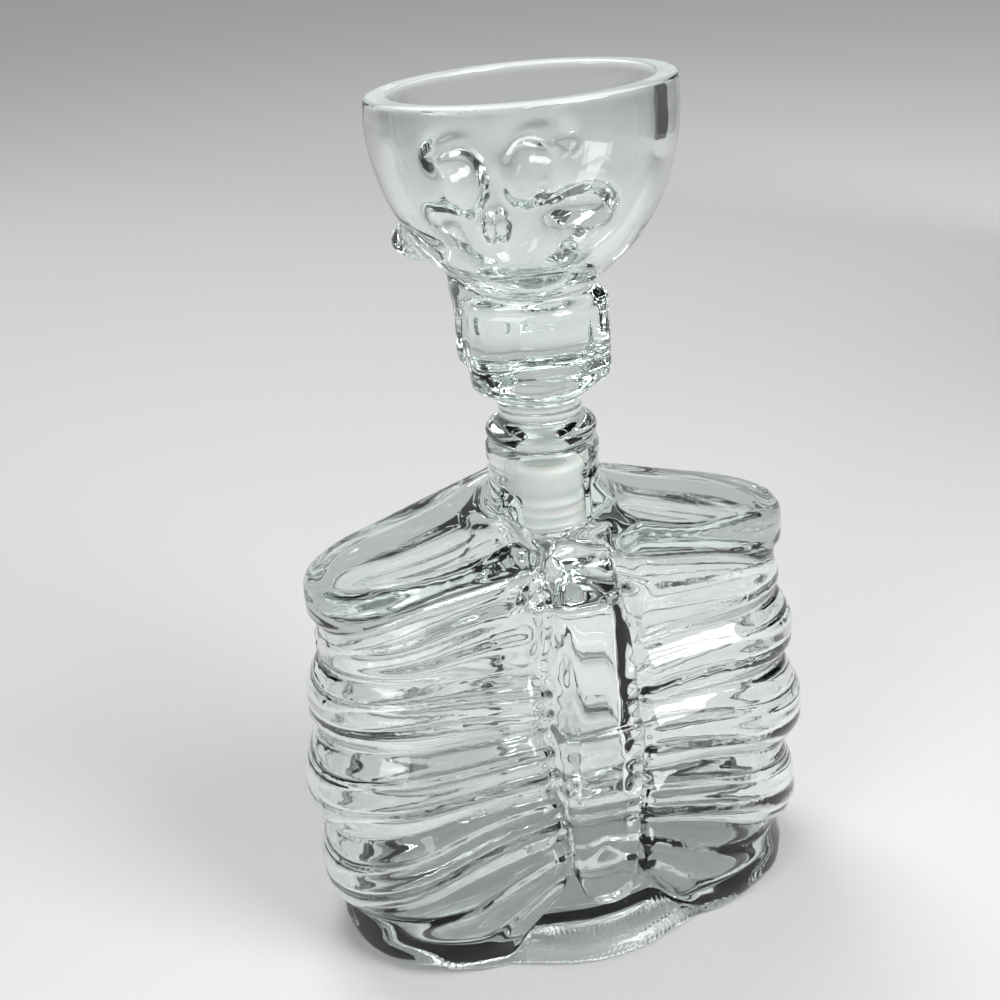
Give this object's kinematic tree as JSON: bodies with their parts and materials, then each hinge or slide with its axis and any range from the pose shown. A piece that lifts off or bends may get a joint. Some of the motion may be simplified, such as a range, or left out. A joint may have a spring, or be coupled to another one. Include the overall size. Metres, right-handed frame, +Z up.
{
  "type": "figural liquor decanter",
  "caption": "Clear glass decanter shaped as a rib cage, closed by a glass skull goblet that lifts out and turns, sealed by a ribbed plastic sleeve.",
  "frame": {"origin": "centre of the foot, in the plane it stands on, below the neck's axis", "axes": "+Z up along the neck's axis, -Y out of the breastbone, +X to the right as seen from the front"},
  "size_m": [0.1474, 0.0863, 0.2345],
  "materials": {
    "clear_glass": "clear pressed glass, faintly green",
    "milky_plastic": "milky translucent polyethylene"
  },
  "bodies": {
    "bottle": {"bottle": "clear_glass"},
    "seal": {"stopper_seal": "milky_plastic"},
    "goblet": {"skull_goblet": "clear_glass"}
  },
  "joints": [
    {"name": "stopper_lift", "type": "slide", "parent": "bottle", "child": "seal", "axis": [0, 0, 1], "range_m": [0, 0.05]},
    {"name": "goblet_turn", "type": "hinge", "parent": "seal", "child": "goblet", "pos_m": [0, 0, 0.1455], "axis": [0, 0, 1], "continuous": true}
  ]
}
